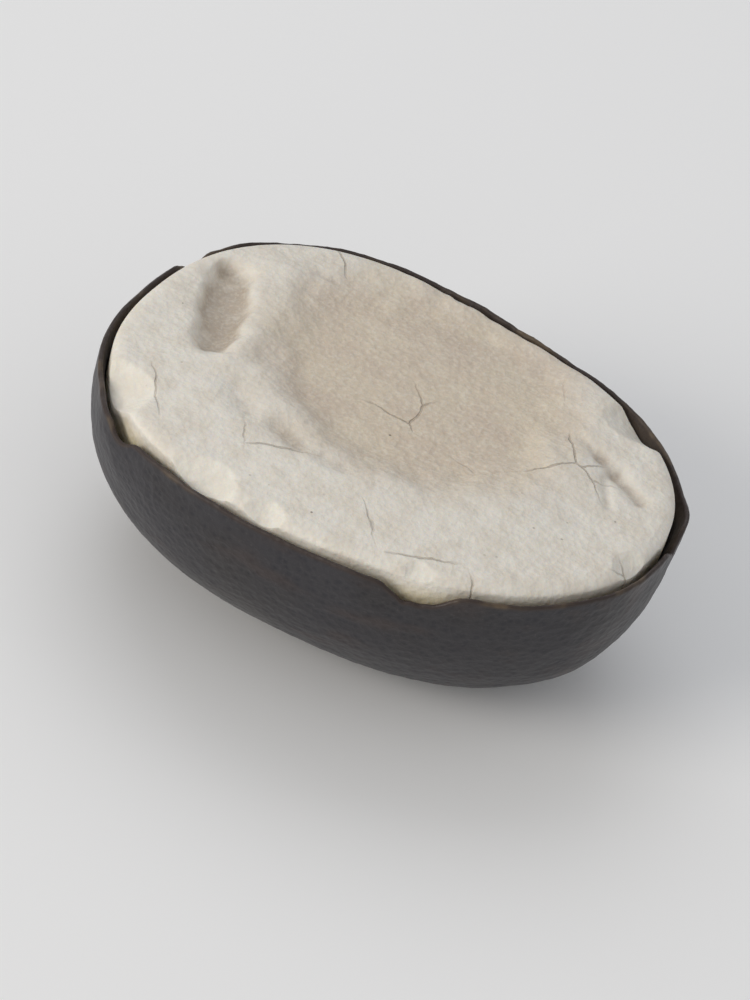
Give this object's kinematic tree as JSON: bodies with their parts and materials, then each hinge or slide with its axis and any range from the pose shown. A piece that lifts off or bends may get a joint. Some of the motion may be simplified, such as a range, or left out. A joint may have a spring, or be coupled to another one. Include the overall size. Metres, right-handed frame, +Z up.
{
  "type": "split black gram",
  "caption": "Split half of a black gram seed: cream cut face with a shallow hollow, matte black seed coat round the back; rests on a small flat spot.",
  "frame": {"origin": "on the ground, under the middle of the half seed's outline", "axes": "+X along the seed's length towards its narrower end, +Y towards the side with the hilum, +Z up out of the cut face"},
  "size_m": [0.0046, 0.0036, 0.0018],
  "materials": {
    "cotyledon": "dry, starchy, split cream flesh with a brighter rim, matte",
    "seed_coat": "dry, black, finely pitted seed skin with a soft grey sheen and a pale hilum"
  },
  "bodies": {
    "root": {"cotyledon": "cotyledon", "seed_coat": "seed_coat"}
  },
  "joints": []
}
